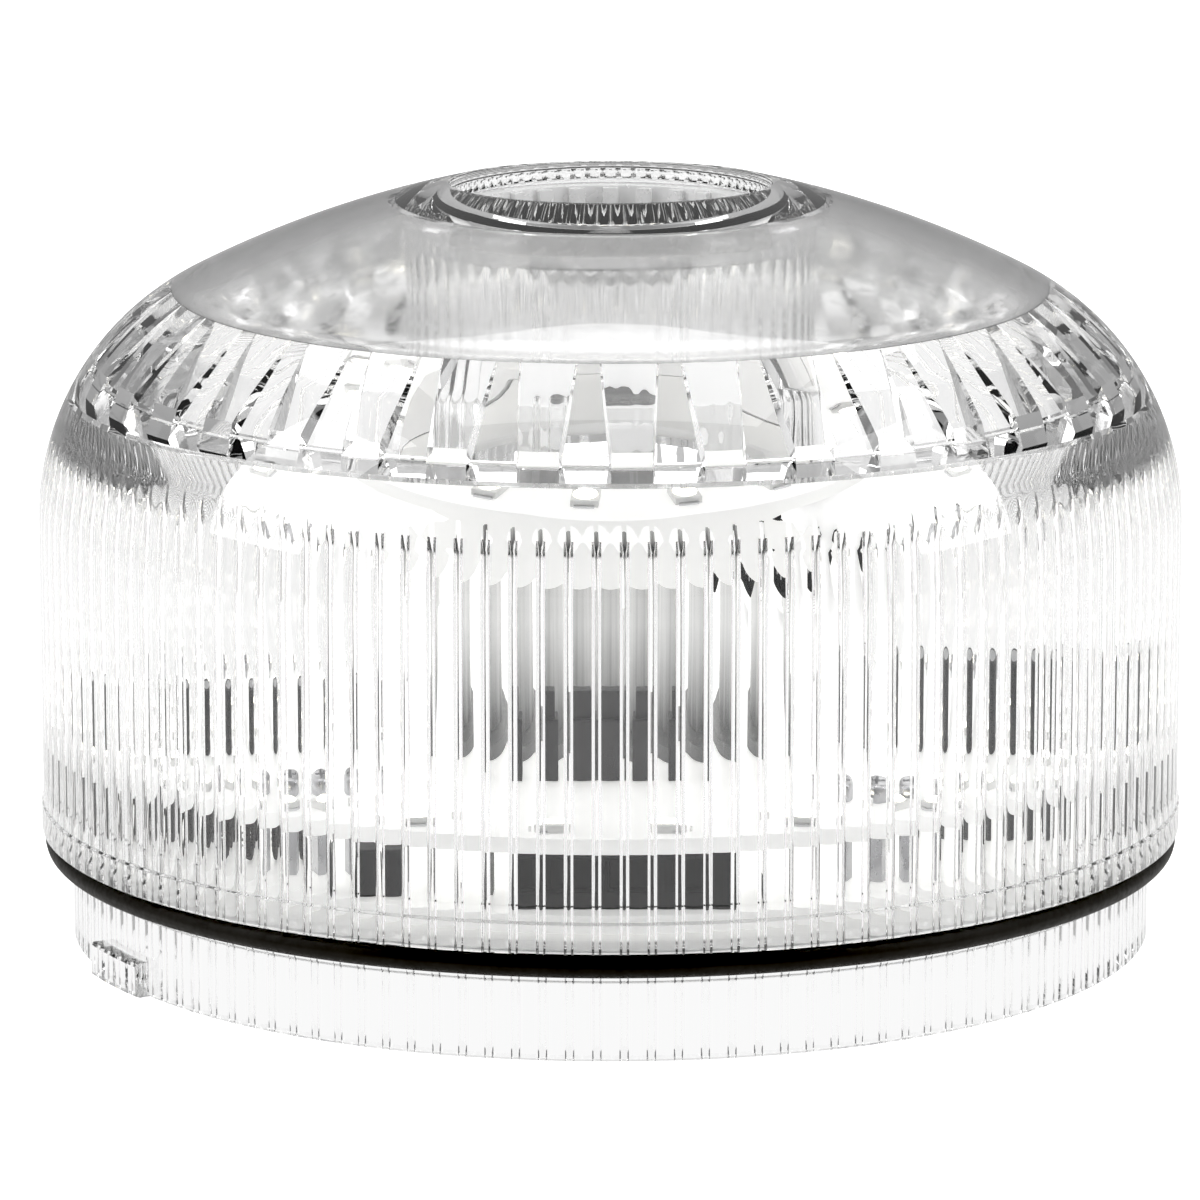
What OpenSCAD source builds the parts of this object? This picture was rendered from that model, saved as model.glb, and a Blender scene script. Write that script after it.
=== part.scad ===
/* [Lens] */
// Outer radius of the lens wall
lens_r = 60; // [59.5:0.1:60.5]
// Height at which the straight wall turns into the shoulder
wall_top_z = 44.2; // [43.5:0.1:45]
// Radius of the shoulder's arc
shoulder_r = 28.3; // [28:0.1:28.6]
// Angle through which the shoulder turns before the dome begins
shoulder_turn = 63.25; // [62:0.25:64]
// Radius of the dome's arc
dome_r = 117.2; // [115:0.2:119]
// Wall thickness of the dome
dome_wall = 3; // [2.8:0.1:3.2]
// How far the sealing lip stands proud of the wall
lip_proud = 0.25; // [0.1:0.05:0.4]
// Number of inner flutes around the wall
flute_count = 132; // [108:12:144]
// Depth of an inner flute
flute_depth = 1.0; // [0.6:0.1:1.1]
// Height at which the flutes end
flute_top_z = 51; // [48:0.5:52]
// Number of wedge ribs inside the shoulder
rib_count = 36; // [24:6:40]
// Width of a wedge rib at its foot
rib_foot_w = 4.6; // [4:0.2:5]
// Width of a wedge rib at its top
rib_top_w = 2.2; // [1.8:0.2:2.6]
// Height of the foot of the wedge ribs
rib_foot_z = 57; // [56.5:0.25:57.5]

/* [Crown and tube] */
// Radius of the sound outlet in the crown
mouth_r = 16.8; // [16.5:0.1:17]
// Outer radius of the sound tube
tube_r = 21.3; // [21.1:0.1:21.5]
// Wall thickness of the sound tube
tube_wall = 2.5; // [2.2:0.1:2.6]
// Height of the sound tube's lower end
tube_foot_z = 52.8; // [52.6:0.1:53]
// Inner radius of the horn's throat
throat_r = 6.5; // [6:0.1:6.6]
// Height of the throat's upper end
throat_top_z = 70.4; // [66:0.2:71]

/* [Skirt] */
// Outer radius of the skirt that enters the base
skirt_r = 57; // [56.8:0.1:57.2]
// Height of the sealing flange's underside
flange_z = 11.5; // [11.45:0.05:11.6]
// Number of bayonet lugs
lug_count = 2; // [2:1:4]
// Angle spanned by a bayonet lug
lug_span = 10.6; // [8:0.2:14]
// Height of a bayonet lug
lug_h = 3.6; // [3:0.2:4]
// How far a bayonet lug stands out of the skirt
lug_out = 1.4; // [1:0.1:1.8]

/* [Seal] */
// Section diameter of the sealing ring
seal_d = 2.6; // [2.4:0.05:2.6]

/* [Boards] */
// Radius of the lower LED board
lower_board_r = 52; // [50:0.5:52.5]
// Height of the lower LED board's underside
lower_board_z = 20; // [20:0.1:20.4]
// Thickness of every circuit board
board_t = 1.6; // [1.5:0.1:1.6]
// Radius of the upper LED board
upper_board_r = 34; // [33:0.5:36]
// Gap between the two halves of the reflector
reflector_gap = 29; // [24:0.5:32]
// Number of LEDs on the lower board
lower_led_count = 24; // [12:6:30]
// Number of LEDs on the upper board
upper_led_count = 18; // [9:3:24]

/* [Controls] */
// Number of positions of the tone switch
dip_count = 5; // [5:1:5]
// Travel of a tone switch slider
dip_travel = 1.6; // [1:0.1:1.6]
// Travel of a contact pin
pin_travel = 1.2; // [0.8:0.1:1.2]

/* [Hidden] */
$fn = 96;

lip_r = lens_r + lip_proud;
lip_top_z = 14.6;
// arc centres of the outer outline
sh_cr = lens_r - shoulder_r;
sh_cz = wall_top_z;
dm_cr = sh_cr - (dome_r - shoulder_r) * cos(shoulder_turn);
dm_cz = sh_cz - (dome_r - shoulder_r) * sin(shoulder_turn);
function dome_z(r, k = 0) = dm_cz + sqrt(pow(dome_r - k, 2) - pow(r - dm_cr, 2));
function sh_pt(t, k = 0) = [sh_cr + (shoulder_r - k) * cos(t), sh_cz + (shoulder_r - k) * sin(t)];
function dm_pt(t, k = 0) = [dm_cr + (dome_r - k) * cos(t), dm_cz + (dome_r - k) * sin(t)];
mouth_t = acos((mouth_r - dm_cr) / dome_r);
inner_flat_r = lens_r - 4.4;           // flats between the flutes
flute_tip_r = inner_flat_r - flute_depth;
ledge_r = 50.6;                        // inner edge of the ledge under the wedge ribs
snd_z = tube_foot_z - 55;              // shift of the sounder with the tube's lower end
plate_z = 8.85;
plate_t = 2.35;
ctl_z = 11.5;
ctl_top = ctl_z + board_t;
low_top = lower_board_z + board_t;
up_z = 41;
up_top = up_z + board_t;
lug_a = 209;
spacer_pos = [[34, 26], [-34, 26], [-30, -31], [27, -34]];
pin_x = [-7.5, -2.5, 2.5, 7.5];
dip_c = [-27, 0];
dip_pitch = 2.54;
trim_c = [25, 0];

module ring(r1, r0, z0, z1) {
    translate([0, 0, z0]) difference() {
        cylinder(r = r1, h = z1 - z0);
        translate([0, 0, -1]) cylinder(r = r0, h = z1 - z0 + 2);
    }
}
module at_angle(a, r = 0, z = 0) rotate([0, 0, a]) translate([r, 0, z]) children();
module block(x, y, z0, z1, c = [0, 0]) translate([c[0] - x / 2, c[1] - y / 2, z0]) cube([x, y, z1 - z0]);
module rod(r, z0, z1, c = [0, 0]) translate([c[0], c[1], z0]) cylinder(r = r, h = z1 - z0);

// ---------- lens ----------
module lens_section() {
    polygon(concat(
        [[53.6, 0], [skirt_r, 0], [skirt_r, 8.0], [skirt_r + 0.35, 8.3], [skirt_r + 0.35, 8.6],
         [skirt_r + 0.2, 8.7], [skirt_r + 0.2, flange_z], [lip_r, flange_z], [lip_r, lip_top_z], [lens_r, lip_top_z + 0.25]],
        [for (i = [0:12]) sh_pt(shoulder_turn * i / 12)],
        [for (i = [1:10]) dm_pt(shoulder_turn + (mouth_t - shoulder_turn) * i / 10)],
        [[mouth_r, 72.5], [mouth_r - 1, 72.5], [mouth_r - 1, 71.3], [tube_r - tube_wall, 71.3],
         [tube_r - tube_wall, tube_foot_z], [tube_r, tube_foot_z], [tube_r + 0.4, dome_z(tube_r + 0.4, dome_wall)]],
        [for (r = [25:3:43]) [r, dome_z(r, dome_wall)]],
        [[44.5, 65.95], [47.1, 62.6], [ledge_r, rib_foot_z + 1.6], [ledge_r, rib_foot_z], [inner_flat_r + 0.2, rib_foot_z],
         [inner_flat_r + 0.2, flute_top_z], [53.6, flute_top_z]]));
}
module flute_outline() {
    p = 360 / flute_count;
    polygon([for (i = [0:flute_count - 1]) each [
        inner_flat_r * [cos((i - 0.35) * p), sin((i - 0.35) * p)],
        inner_flat_r * [cos((i + 0.35) * p), sin((i + 0.35) * p)],
        flute_tip_r * [cos((i + 0.45) * p), sin((i + 0.45) * p)],
        flute_tip_r * [cos((i + 0.55) * p), sin((i + 0.55) * p)]]]);
}
module wedge_ribs() {
    intersection() {
        rotate_extrude() polygon([[49.3, rib_foot_z + 0.02], [51.4, rib_foot_z + 0.02], [51.4, 59.4], [47.7, 63.4], [45.2, 66.6],
            [44.2, 66.1], [46.0, 62.2], [47.8, 59.2]]);
        union() for (i = [0:rib_count - 1])
            rotate([0, 0, 267.3 + i * 360 / rib_count]) translate([40, 0, 0]) rotate([90, 0, 90])
                linear_extrude(height = 18) polygon([[-rib_foot_w / 2, rib_foot_z - 1], [rib_foot_w / 2, rib_foot_z - 1],
                    [rib_top_w / 2, 69], [-rib_top_w / 2, 69]]);
    }
}
module lens_dome() color([0.93, 0.94, 0.95, 0.35]) {
    difference() {
        union() {
            rotate_extrude() lens_section();
            wedge_ribs();
        }
        translate([0, 0, -1]) linear_extrude(height = flute_top_z + 1.5) flute_outline();
    }
    // stops above the closure plate and snap beads below it
    for (a = [30:60:330]) at_angle(a) {
        translate([53.3, -4, 11.35]) cube([2.9, 8, 1.3]);
        translate([53.85, -3.2, 7.6]) cube([2.2, 6.4, 1.15]);
    }
    // bayonet lugs
    for (i = [0:lug_count - 1]) at_angle(lug_a + i * 360 / lug_count)
        rotate([0, 0, -lug_span / 2]) rotate_extrude(angle = lug_span)
            polygon([[skirt_r - 0.6, 0], [skirt_r + lug_out - 0.4, 0], [skirt_r + lug_out, 0.4], [skirt_r + lug_out, lug_h], [skirt_r - 0.6, lug_h]]);
}

// ---------- seal ----------
module o_ring_seal() color([0.06, 0.06, 0.055])
    rotate_extrude() translate([skirt_r + 0.22 + seal_d / 2, flange_z - 0.01 - seal_d / 2]) circle(d = seal_d, $fn = 48);

// ---------- sound outlet ----------
module horn_grille() color([0.95, 0.95, 0.96, 0.6]) {
    ring(mouth_r - 0.02, 14.2, 72.5, 77);
    difference() {
        ring(11.8, 6.5, 73.4, 75);
        translate([0, 0, 74.4]) cylinder(r1 = 6.5, r2 = 7.3, h = 0.8);
    }
    for (i = [0:23]) at_angle(i * 15) {
        translate([11.6, -0.85, 73.4]) cube([2.8, 1.7, 1.6]);
        translate([13.5, -0.85, 73.4]) cube([1.2, 1.7, 3.4]);
    }
}
module acoustic_mesh() color([0.12, 0.12, 0.12]) rod(9, 72.9, 73.38);

// ---------- sounder ----------
module horn_throat() color([0.94, 0.95, 0.96, 0.5])
    rotate_extrude() polygon([[throat_r, snd_z + 53.62], [throat_r + 0.9, snd_z + 53.62], [throat_r + 0.9, throat_top_z - 1.6],
        [8.6, throat_top_z - 0.4], [8.6, throat_top_z], [7.4, throat_top_z], [throat_r, throat_top_z - 1.8]]);
module tube_gasket() color([0.9, 0.9, 0.9]) ring(22, 18.6, snd_z + 53.6, tube_foot_z);
module sounder_cap() color([0.92, 0.92, 0.92])
    ring(20.5, throat_r + 0.02, snd_z + 52.42, snd_z + 53.58);
module sounder_port() color([0.05, 0.05, 0.05]) translate([0, 0, snd_z]) difference() {
    rod(throat_r - 0.02, 52.2, 54.4);
    rod(1.5, 52, 55);
    for (a = [0:60:300]) at_angle(a, 4, 52) cylinder(r = 1.1, h = 3);
    translate([0, 0, 53.6]) cylinder(r1 = 4.8, r2 = 5.9, h = 0.9);
}
module piezo_gasket() color([0.9, 0.9, 0.9]) ring(20.5, 18.6, snd_z + 51.72, snd_z + 52.4);
module piezo_disc() color([0.78, 0.62, 0.28]) rod(20.5, snd_z + 51.5, snd_z + 51.7);
module piezo_ceramic() color([0.9, 0.9, 0.86]) rod(13, snd_z + 51.7, snd_z + 51.88);
module sounder_body() color([0.86, 0.86, 0.86])
    rotate_extrude() polygon([[0, 44.5], [9.8, 44.5], [9.8, 37], [12, 37], [12, up_top + 0.02], [16, up_top + 0.02], [16, 44.2], [20, 44.2],
        [22, 46.2], [22, snd_z + 53.58], [20.55, snd_z + 53.58], [20.55, snd_z + 51.48], [18.6, snd_z + 51.48], [18.6, 46.8], [17.4, 45.8], [0, 45.8]]);
module sounder_column() color([0.5, 0.5, 0.51]) {
    rotate_extrude() polygon([[12.05, low_top + 0.02], [19, low_top + 0.02], [19, 23.2], [14.4, 23.6], [13.8, 36.6], [17, 38.8], [17, up_z - 0.02], [12.05, up_z - 0.02]]);
    for (a = [90:120:330]) rod(1.2, lower_board_z - 1.2, low_top + 0.5, 16.6 * [cos(a), sin(a)]);
}

// ---------- LED boards ----------
module upper_led_board() color([0.93, 0.93, 0.93]) difference() {
    rod(upper_board_r, up_z, up_top);
    rod(12.1, up_z - 1, up_top + 1);
}
module led(a, r, z) at_angle(a, r, z) {
    block(3.2, 3.0, 0, 0.9);
    rod(1.25, 0.85, 1.25);
}
module upper_leds() color([1, 0.99, 0.95]) for (i = [0:upper_led_count - 1]) led(i * 360 / upper_led_count + 5, 30, up_top);
module led_driver_chips() color([0.1, 0.1, 0.1]) for (a = [201, 209.5, 300, 318, 327, 40, 130]) at_angle(a, 30.5, up_z - 1.5) block(3.6, 6, 0, 1.5);
module reflector() color([0.97, 0.97, 0.97]) difference() {
    rotate_extrude() polygon([[36, low_top + 0.02], [37.2, low_top + 0.02], [34.4, 26], [31.4, 32], [29.4, 38.2], [28.2, 38.2], [30.2, 31.7], [33.2, 25.6]]);
    // the two halves leave a gap at the front and the rear
    block(reflector_gap, 90, low_top - 1, 40);
}
module riser_connector() color([0.08, 0.08, 0.08]) {
    block(12, 4.4, low_top, low_top + 6.4, [-1, -24.6]);
    block(9.6, 2.6, low_top + 6.3, low_top + 9.2, [-1, -24.6]);
}
module lower_led_board() color([0.93, 0.93, 0.93]) difference() {
    rod(lower_board_r, lower_board_z, low_top);
    for (p = spacer_pos) rod(1.7, lower_board_z - 1, low_top + 1, p);
    for (a = [90:120:330]) rod(1.25, lower_board_z - 1, low_top + 1, 16.6 * [cos(a), sin(a)]);
}
module lower_leds() color([1, 0.99, 0.95]) for (i = [0:lower_led_count - 1]) led((i + 0.5) * 360 / lower_led_count, 48.4, low_top);
module bulk_capacitors() color([0.1, 0.1, 0.11]) {
    rod(3.15, low_top, 28.6, [-39.5, -12]);
    rod(4, low_top, 31.4, [40.2, -10.8]);
}
module board_header() color([0.09, 0.09, 0.09]) {
    block(10.2, 5, ctl_top, lower_board_z, [0, 24]);
}
module board_spacers() color([0.7, 0.7, 0.72]) for (p = spacer_pos) translate([p[0], p[1], ctl_top]) difference() {
    cylinder(r = 2.75, h = lower_board_z - ctl_top, $fn = 6);
    translate([0, 0, -1]) cylinder(r = 1.5, h = 12, $fn = 32);
}
module board_screws() color([0.75, 0.75, 0.77]) for (p = spacer_pos) {
    rod(1.45, lower_board_z - 3.2, low_top + 0.1, p);
    difference() {
        rod(2.8, low_top, low_top + 1.8, p);
        translate([p[0] - 0.35, p[1] - 2, low_top + 1.1]) cube([0.7, 4, 1]);
        translate([p[0] - 2, p[1] - 0.35, low_top + 1.1]) cube([4, 0.7, 1]);
    }
}

// ---------- control board ----------
module control_board() color([0.93, 0.93, 0.93]) difference() {
    rod(50, ctl_z, ctl_top);
    for (p = spacer_pos) rod(1.7, ctl_z - 1, ctl_top + 1, p);
}
module filter_capacitors() color([0.1, 0.1, 0.11]) for (p = [[-46, -8], [-43.5, -16.2], [-43, 4]]) rod(3.15, ctl_top, 19.4, p);
module driver_inductor() color([0.14, 0.14, 0.14]) block(4.6, 4.6, ctl_top, 18.2, [-22.8, -40.2]);
// ring chokes that stand on edge and face outwards
module ring_chokes() color([0.07, 0.07, 0.07]) for (a = [208.5, 217])
    at_angle(a, 44.6, ctl_top + 3.1) rotate([0, 90, 0]) rotate_extrude() translate([2.25, 0]) square([1.7, 2.6], center = true);
module terminal_block() color([0.09, 0.09, 0.09]) difference() {
    block(22, 8, ctl_top, 19.8, [0.8, -43.5]);
    for (i = [0:3]) block(3.6, 3, 15, 18.4, [-6.8 + i * 5.08, -47.2]);
}
module transformer() color([0.09, 0.09, 0.09]) rotate([0, 0, 78]) {
    block(18, 7.6, ctl_top, 19.4, [0, -45]);
}
module microcontroller() color([0.1, 0.1, 0.1]) {
    block(9, 9, ctl_top, ctl_top + 1.5, [14, 6]);
    block(5, 6, ctl_top, ctl_top + 1.5, [-12, 6]);
    block(5, 6, ctl_top, ctl_top + 1.5, [-12, -12]);
    block(6, 7, ctl_top, ctl_top + 2.2, [12, -14]);
}

// ---------- closure plate ----------
module closure_plate() color([0.9, 0.9, 0.9]) difference() {
    union() {
        rod(54.3, plate_z, plate_z + plate_t);
        for (p = spacer_pos) rod(3.6, plate_z + 1, ctl_z - 0.02, p);
    }
    block(26.4, 10.4, plate_z - 1, 13);
    block(dip_pitch * dip_count + 2.4, 10.4, plate_z - 1, 13, dip_c);
    rod(4.2, plate_z - 1, 13, trim_c);
    for (p = spacer_pos) {
        rod(1.7, plate_z - 1, 13, p);
        rod(3.1, plate_z - 1, plate_z + 1.3, p);
    }
    // shallow grooves that stiffen the plate
    for (r = [44, 48]) ring(r + 0.6, r - 0.6, plate_z - 0.5, plate_z + 0.5);
}
module plate_screws() color([0.75, 0.75, 0.77]) for (p = spacer_pos) {
    rod(1.45, plate_z + 0.5, ctl_top + 3, p);
    difference() {
        rod(2.8, plate_z + 0.02, plate_z + 1.28, p);
        translate([p[0] - 0.35, p[1] - 2, plate_z - 0.5]) cube([0.7, 4, 1]);
        translate([p[0] - 2, p[1] - 0.35, plate_z - 0.5]) cube([4, 0.7, 1]);
    }
}

// ---------- contacts ----------
module contact_carrier() color([0.9, 0.9, 0.9]) difference() {
    union() {
        block(26, 10, 3, ctl_z - 0.02);
        block(26, 2, 2.2, 3.4, [0, -4]);
        block(26, 2, 2.2, 3.4, [0, 4]);
    }
    for (x = pin_x) {
        rod(0.75, 2, 4.4, [x, 0]);
        rod(1.25, 4.2, ctl_z + 1, [x, 0]);
    }
}
module contact_pin(x) color([0.85, 0.7, 0.35]) translate([x, 0, 0])
    rotate_extrude($fn = 48) polygon([[0, 1.2], [0.45, 1.2], [0.7, 1.45], [0.7, 4.22], [1.15, 4.22], [1.15, 5], [0.5, 5], [0.4, 5.8], [0, 5.8]]);
module contact_pin_1() contact_pin(pin_x[0]);
module contact_pin_2() contact_pin(pin_x[1]);
module contact_pin_3() contact_pin(pin_x[2]);
module contact_pin_4() contact_pin(pin_x[3]);
// a wire swept along a helix: rings of points, each ring in the plane square to the helix
module coil(x, r, wire, z0, z1, turns, per_turn = 10, sides = 6) {
    n = turns * per_turn;
    lead = (z1 - z0) / (2 * PI * r * turns);
    tilt = atan(lead);
    pts = [for (i = [0:n]) let (a = 360 * i / per_turn, z = z0 + (z1 - z0) * i / n)
        for (j = [0:sides - 1]) let (b = 360 * j / sides, u = wire * cos(b), v = wire * sin(b))
            [x + (r + u) * cos(a) + v * sin(tilt) * sin(a), (r + u) * sin(a) - v * sin(tilt) * cos(a), z + v * cos(tilt)]];
    faces = concat([[for (j = [0:sides - 1]) j]], [[for (j = [sides - 1:-1:0]) n * sides + j]],
        [for (i = [0:n - 1]) for (j = [0:sides - 1]) each [
            [i * sides + j, (i + 1) * sides + j, (i + 1) * sides + (j + 1) % sides],
            [i * sides + j, (i + 1) * sides + (j + 1) % sides, i * sides + (j + 1) % sides]]]);
    polyhedron(points = pts, faces = faces);
}
module contact_spring(x) color([0.8, 0.8, 0.82]) coil(x, 0.88, 0.14, 5.2, ctl_z - 0.2, 7);
module contact_spring_1() contact_spring(pin_x[0]);
module contact_spring_2() contact_spring(pin_x[1]);
module contact_spring_3() contact_spring(pin_x[2]);
module contact_spring_4() contact_spring(pin_x[3]);

// ---------- tone switch and volume trimmer ----------
module tone_switch_body() color([0.12, 0.14, 0.2]) difference() {
    block(dip_pitch * dip_count + 2, 9.8, 6.4, ctl_z - 0.02, dip_c);
    for (i = [0:dip_count - 1]) block(1.3, 1.7 + dip_travel, 5, 8, [dip_c[0] + (i - (dip_count - 1) / 2) * dip_pitch, 0]);
}
module tone_slider(i) color([0.95, 0.95, 0.95])
    translate([dip_c[0] + (i - (dip_count - 1) / 2) * dip_pitch, -dip_travel / 2, 0]) {
        block(1.2, 1.6, 6.1, 7.95);
        block(0.9, 0.9, 5.7, 6.2);
    }
module tone_slider_1() tone_slider(0);
module tone_slider_2() tone_slider(1);
module tone_slider_3() tone_slider(2);
module tone_slider_4() tone_slider(3);
module tone_slider_5() tone_slider(4);
module volume_trimmer() color([0.2, 0.3, 0.55]) difference() {
    union() {
        rod(3.9, 6.4, 9.2, trim_c);
        block(5.4, 5.4, 8, ctl_z - 0.02, trim_c);
    }
    rod(2.05, 5, 8.5, trim_c);
}
module volume_rotor() color([0.93, 0.93, 0.93]) difference() {
    rod(2, 6, 8.45, trim_c);
    block(0.6, 3.2, 5, 6.9, trim_c);
    block(0.6, 1.7, 5, 6.9, [trim_c[0], 2]);
}

lens_dome();
o_ring_seal();
horn_grille();
acoustic_mesh();
horn_throat();
tube_gasket();
sounder_cap();
sounder_port();
piezo_gasket();
piezo_disc();
piezo_ceramic();
sounder_body();
sounder_column();
upper_led_board();
upper_leds();
led_driver_chips();
reflector();
riser_connector();
lower_led_board();
lower_leds();
bulk_capacitors();
board_header();
board_spacers();
board_screws();
control_board();
filter_capacitors();
driver_inductor();
ring_chokes();
terminal_block();
transformer();
microcontroller();
closure_plate();
plate_screws();
contact_carrier();
contact_pin_1();
contact_pin_2();
contact_pin_3();
contact_pin_4();
contact_spring_1();
contact_spring_2();
contact_spring_3();
contact_spring_4();
tone_switch_body();
tone_slider_1();
tone_slider_2();
tone_slider_3();
tone_slider_4();
tone_slider_5();
volume_trimmer();
volume_rotor();
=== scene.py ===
import math
import bpy
import bmesh
import numpy as np
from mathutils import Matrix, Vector


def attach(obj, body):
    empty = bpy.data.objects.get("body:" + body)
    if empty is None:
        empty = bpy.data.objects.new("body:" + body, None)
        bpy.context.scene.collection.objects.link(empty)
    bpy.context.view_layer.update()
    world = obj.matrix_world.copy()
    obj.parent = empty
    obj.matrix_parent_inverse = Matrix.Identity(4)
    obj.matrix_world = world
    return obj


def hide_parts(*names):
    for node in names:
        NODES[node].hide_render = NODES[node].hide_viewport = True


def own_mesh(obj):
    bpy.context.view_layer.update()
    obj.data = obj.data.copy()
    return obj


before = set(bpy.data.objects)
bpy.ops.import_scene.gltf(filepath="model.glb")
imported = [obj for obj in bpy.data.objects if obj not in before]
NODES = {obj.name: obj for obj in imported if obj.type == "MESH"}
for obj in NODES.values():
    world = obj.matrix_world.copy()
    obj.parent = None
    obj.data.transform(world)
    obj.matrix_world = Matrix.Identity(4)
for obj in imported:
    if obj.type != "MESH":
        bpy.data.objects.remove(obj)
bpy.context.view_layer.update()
scene = bpy.context.scene
MM = 0.001

# ------------------------------------------------------------------ camera
R = 60.0
ELEV = math.radians(11.28)
AIM = Vector((0, 0, 34.74)) * MM
cam = bpy.data.objects.new("camera", bpy.data.cameras.new("camera"))
scene.collection.objects.link(cam)
cam.data.lens = 189.17
cam.data.sensor_width = 36.0
cam.data.shift_x = -0.00875
view_dir = Vector((0, math.cos(ELEV), -math.sin(ELEV)))
cam.location = AIM - view_dir * (11.1 * R * MM)
cam.rotation_euler = view_dir.to_track_quat("-Z", "Y").to_euler()
cam.data.clip_start, cam.data.clip_end = 0.01, 50
scene.camera = cam


# ------------------------------------------------------------------ node helpers
def nt_new(name):
    m = bpy.data.materials.new(name)
    m.use_nodes = True
    nt = m.node_tree
    nt.nodes.clear()
    out = nt.nodes.new("ShaderNodeOutputMaterial")
    p = nt.nodes.new("ShaderNodeBsdfPrincipled")
    nt.links.new(p.outputs[0], out.inputs[0])
    return m, nt, p


def noise(nt, scale, detail=3.0, rough=0.5, distortion=0.0, stretch=None):
    tc = nt.nodes.new("ShaderNodeTexCoord")
    n = nt.nodes.new("ShaderNodeTexNoise")
    n.inputs["Scale"].default_value = scale
    n.inputs["Detail"].default_value = detail
    n.inputs["Roughness"].default_value = rough
    n.inputs["Distortion"].default_value = distortion
    if stretch:
        mp = nt.nodes.new("ShaderNodeMapping")
        mp.inputs["Scale"].default_value = stretch
        nt.links.new(tc.outputs["Object"], mp.inputs["Vector"])
        nt.links.new(mp.outputs["Vector"], n.inputs["Vector"])
    else:
        nt.links.new(tc.outputs["Object"], n.inputs["Vector"])
    return n.outputs["Fac"]


def ramp(nt, fac, lo, hi, c0, c1):
    r = nt.nodes.new("ShaderNodeValToRGB")
    r.color_ramp.elements[0].position = lo
    r.color_ramp.elements[1].position = hi
    r.color_ramp.elements[0].color = (*c0, 1) if len(c0) == 3 else c0
    r.color_ramp.elements[1].color = (*c1, 1) if len(c1) == 3 else c1
    nt.links.new(fac, r.inputs["Fac"])
    return r.outputs["Color"]


def bump(nt, p, height, strength, distance):
    b = nt.nodes.new("ShaderNodeBump")
    b.inputs["Strength"].default_value = strength
    b.inputs["Distance"].default_value = distance
    nt.links.new(height, b.inputs["Height"])
    nt.links.new(b.outputs["Normal"], p.inputs["Normal"])
    return b


def plastic(name, c0, c1, rough=(0.35, 0.5), scale=900.0, bump_mm=0.004, metallic=0.0, emit=0.0, coat=0.0, grain=None, spec=0.5):
    m, nt, p = nt_new(name)
    n = noise(nt, scale, 4.0, 0.55)
    big = noise(nt, grain or scale * 0.12, 2.0)
    nt.links.new(ramp(nt, big, 0.3, 0.7, c0, c1), p.inputs["Base Color"])
    nt.links.new(ramp(nt, n, 0.3, 0.7, (rough[0],) * 3, (rough[1],) * 3), p.inputs["Roughness"])
    p.inputs["Metallic"].default_value = metallic
    p.inputs["Coat Weight"].default_value = coat
    p.inputs["Specular IOR Level"].default_value = spec
    if emit:
        nt.links.new(ramp(nt, big, 0.3, 0.7, c0, c1), p.inputs["Emission Color"])
        p.inputs["Emission Strength"].default_value = emit
    bump(nt, p, n, 0.35, bump_mm * MM)
    return m


def glass(name, wave=0.02, scale=38.0, rough=(0.0, 0.012), tint=(1, 1, 1), ior=1.585):
    m, nt, p = nt_new(name)
    p.inputs["Base Color"].default_value = (*tint, 1)
    p.inputs["Transmission Weight"].default_value = 1.0
    p.inputs["IOR"].default_value = ior
    fine = noise(nt, 600.0, 3.0)
    nt.links.new(ramp(nt, fine, 0.45, 0.8, (rough[0],) * 3, (rough[1],) * 3), p.inputs["Roughness"])
    w = noise(nt, scale, 2.0, 0.4, 0.6)
    bump(nt, p, w, 1.0, wave * MM)
    return m


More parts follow.
